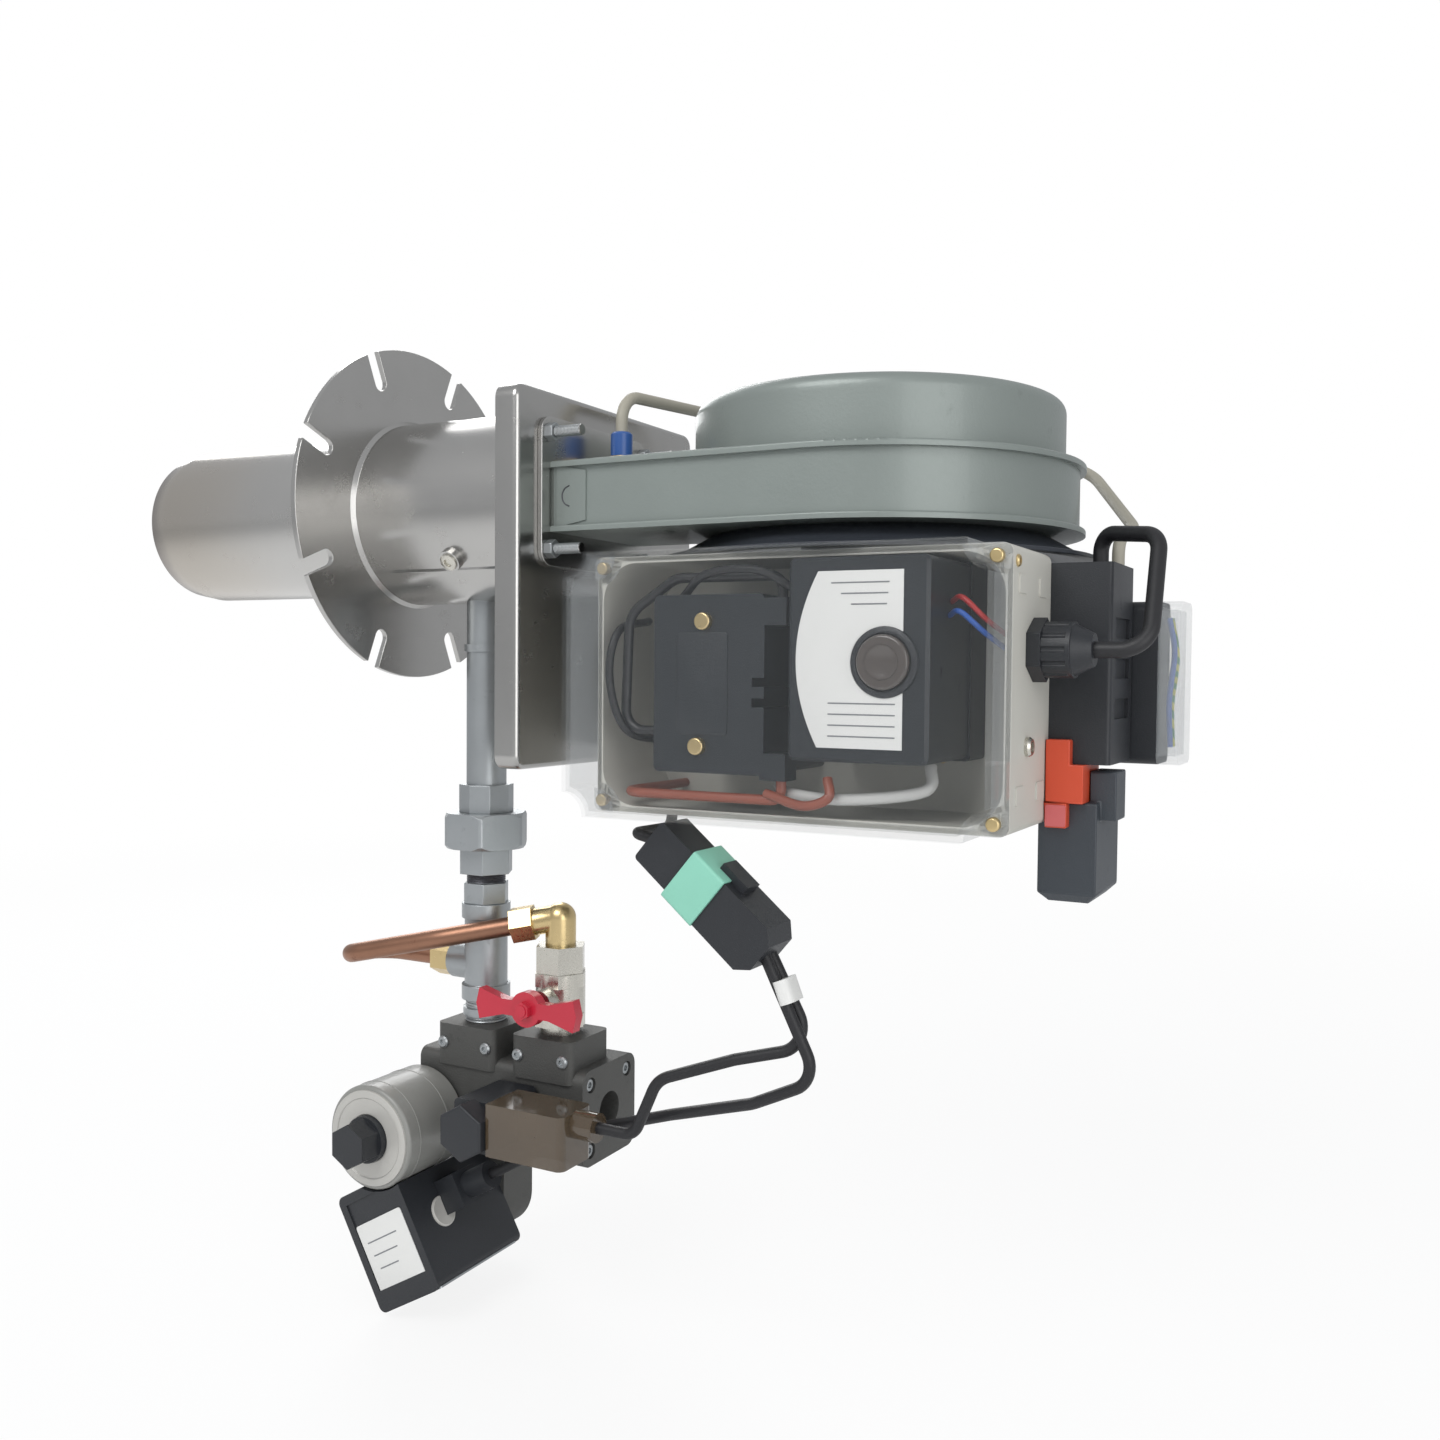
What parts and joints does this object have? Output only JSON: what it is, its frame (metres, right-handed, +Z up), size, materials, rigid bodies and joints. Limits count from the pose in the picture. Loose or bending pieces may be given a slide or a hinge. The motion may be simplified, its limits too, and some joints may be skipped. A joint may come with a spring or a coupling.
{
  "type": "industrial gas burner",
  "caption": "Gas burner with flame tube, blower, ignition and control box, and a gas train with solenoid valves and a hand valve.",
  "frame": {"origin": "centre of the mounting flange's furnace side, on the flame tube's axis", "axes": "+X along the burner away from the flame, +Y away from the control box's lid, +Z up along the blower's axis"},
  "size_m": [0.5621, 0.264, 0.504],
  "materials": {
    "stainless": "satin stainless, heat tinted near the mouth",
    "pan_steel": "satin stainless sheet",
    "zinc": "blue-grey zinc plate",
    "nickel": "dull nickel plate",
    "brass": "machined brass",
    "copper": "tarnished copper tube",
    "blower_paint": "grey-green paint",
    "dark_paint": "dark paint",
    "ceramic": "glazed ceramic",
    "wheel": "bare aluminium",
    "cast": "die-cast, sand finish",
    "grey_plastic": "light grey moulding",
    "clear_plastic": "clear polycarbonate",
    "black_plastic": "black moulding",
    "slate_plastic": "dark grey moulding",
    "blue_plastic": "blue collar",
    "red_plastic": "orange-red moulding",
    "red_handle": "red coated handle",
    "amber_plastic": "transparent amber",
    "coil": "olive-grey resin",
    "hose": "beige-grey hose",
    "rubber": "black sheath",
    "silicone": "red-brown silicone",
    "button": "translucent button"
  },
  "bodies": {
    "burner": {"flame_tube": "stainless", "mounting_flange": "stainless", "mixing_housing": "stainless", "diffuser_disc": "stainless", "gas_nozzle": "zinc", "ignition_electrodes": "ceramic", "ionisation_probe": "ceramic", "gas_inlet_pipe": "zinc", "mounting_pan": "pan_steel", "outlet_flange": "pan_steel", "outlet_nuts": "zinc", "blower_volute": "blower_paint", "blower_lid": "blower_paint", "inlet_drum": "blower_paint", "inlet_cover": "blower_paint", "motor_dish": "dark_paint", "motor_housing": "dark_paint", "air_fitting": "brass", "air_collar": "blue_plastic", "air_hose": "hose", "box_bracket": "zinc", "box_base": "grey_plastic", "box_lid": "clear_plastic", "box_screws": "brass", "ignition_transformer": "black_plastic", "burner_control": "black_plastic", "control_base": "black_plastic", "hv_leads": "silicone", "gland_body": "black_plastic", "gland_nut": "black_plastic", "blower_cable": "rubber", "terminal_socket": "black_plastic", "lock_pieces": "red_plastic", "grey_plug": "slate_plastic", "air_switch": "black_plastic", "air_switch_cover": "clear_plastic", "union_upper": "zinc", "union_nut": "zinc", "union_lower": "zinc", "pipe_nipples": "zinc", "gas_tee": "zinc", "bypass_fittings": "brass", "copper_bypass": "copper", "valve_block": "cast", "main_coil": "coil", "pilot_coil": "black_plastic", "coil_caps": "black_plastic", "din_connector": "amber_plastic", "coil_box": "black_plastic", "coil_gland": "black_plastic", "ball_valve_body": "nickel", "inline_connector": "black_plastic", "valve_cables": "rubber"},
    "blower_wheel": {"impeller": "wheel", "motor_shaft": "zinc"},
    "valve_handle": {"ball_valve_handle": "red_handle"},
    "reset": {"reset_button": "button"},
    "main_core": {"main_plunger": "zinc"},
    "pilot_core": {"pilot_plunger": "zinc"},
    "safety_core": {"safety_plunger": "zinc"}
  },
  "joints": [
    {"name": "blower_spin", "type": "hinge", "parent": "burner", "child": "blower_wheel", "pos_m": [0.251, 0.061, 0], "axis": [0, 0, 1], "continuous": true},
    {"name": "valve_turn", "type": "hinge", "parent": "burner", "child": "valve_handle", "pos_m": [0.101, 0, -0.256], "axis": [0, 1, 0], "range_deg": [0, 90]},
    {"name": "reset_press", "type": "slide", "parent": "burner", "child": "reset", "axis": [0, 1, 0], "range_m": [0, 0.0025], "stiffness_N_per_m": 300},
    {"name": "main_core_lift", "type": "slide", "parent": "burner", "child": "main_core", "axis": [0, -1, 0], "range_m": [0, 0.003], "stiffness_N_per_m": 200},
    {"name": "pilot_core_lift", "type": "slide", "parent": "burner", "child": "pilot_core", "axis": [0, -1, 0], "range_m": [0, 0.003], "stiffness_N_per_m": 150},
    {"name": "safety_core_lift", "type": "slide", "parent": "burner", "child": "safety_core", "axis": [0, -1, 0], "range_m": [0, 0.003], "stiffness_N_per_m": 200}
  ]
}
